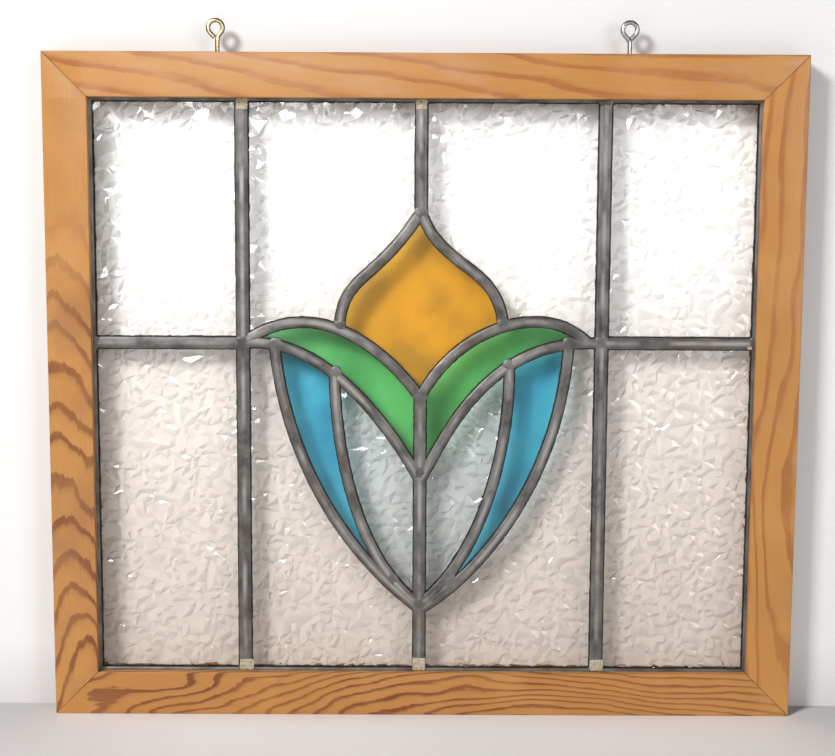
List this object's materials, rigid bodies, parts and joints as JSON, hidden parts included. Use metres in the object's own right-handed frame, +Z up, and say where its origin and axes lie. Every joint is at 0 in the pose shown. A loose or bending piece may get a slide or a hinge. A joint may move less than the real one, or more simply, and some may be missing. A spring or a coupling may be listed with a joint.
{
  "type": "stained glass window",
  "caption": "Rectangular leaded glass panel with a stylised tulip in amber, green and blue on textured clear glass, in a mitred wooden frame with screw eyes for hanging.",
  "frame": {"origin": "on the line through the centres of both hanging rings, above the middle of the frame", "axes": "+X to the right seen from the front, +Z up, the front of the panel faces -Y"},
  "size_m": [0.572, 0.022, 0.5336],
  "materials": {
    "wood": "varnished softwood, satin",
    "lead": "aged dark grey lead came, satin",
    "clear_glass": "clear glass with a pressed crystal relief on its back",
    "amber_glass": "streaky amber glass",
    "green_glass": "streaky green glass",
    "blue_glass": "streaky sky-blue glass",
    "eye_brass": "dull brass",
    "eye_steel": "dull plated steel"
  },
  "bodies": {
    "root": {"rail_top": "wood", "rail_bottom": "wood", "stile_left": "wood", "stile_right": "wood", "lead_border_left": "lead", "lead_border_right": "lead", "lead_border_top": "lead", "lead_border_bottom": "lead", "lead_upright_left": "lead", "lead_upright_right": "lead", "lead_crossbar_left": "lead", "lead_crossbar_right": "lead", "lead_stem_top": "lead", "lead_stem_middle": "lead", "lead_stem_bottom": "lead", "lead_bud_left": "lead", "lead_bud_right": "lead", "lead_leaf_upper_left": "lead", "lead_leaf_upper_right": "lead", "lead_leaf_lower_left": "lead", "lead_leaf_lower_right": "lead", "lead_petal_outer_left": "lead", "lead_petal_outer_right": "lead", "lead_petal_inner_left": "lead", "lead_petal_inner_right": "lead", "glass_corner_top_left": "clear_glass", "glass_corner_top_right": "clear_glass", "glass_corner_bottom_left": "clear_glass", "glass_corner_bottom_right": "clear_glass", "glass_field_top_left": "clear_glass", "glass_field_top_right": "clear_glass", "glass_field_bottom_left": "clear_glass", "glass_field_bottom_right": "clear_glass", "glass_heart_left": "clear_glass", "glass_heart_right": "clear_glass", "glass_bud": "amber_glass", "glass_leaf_left": "green_glass", "glass_leaf_right": "green_glass", "glass_petal_left": "blue_glass", "glass_petal_right": "blue_glass", "screw_eye_left": "eye_brass", "screw_eye_right": "eye_steel"}
  },
  "joints": []
}
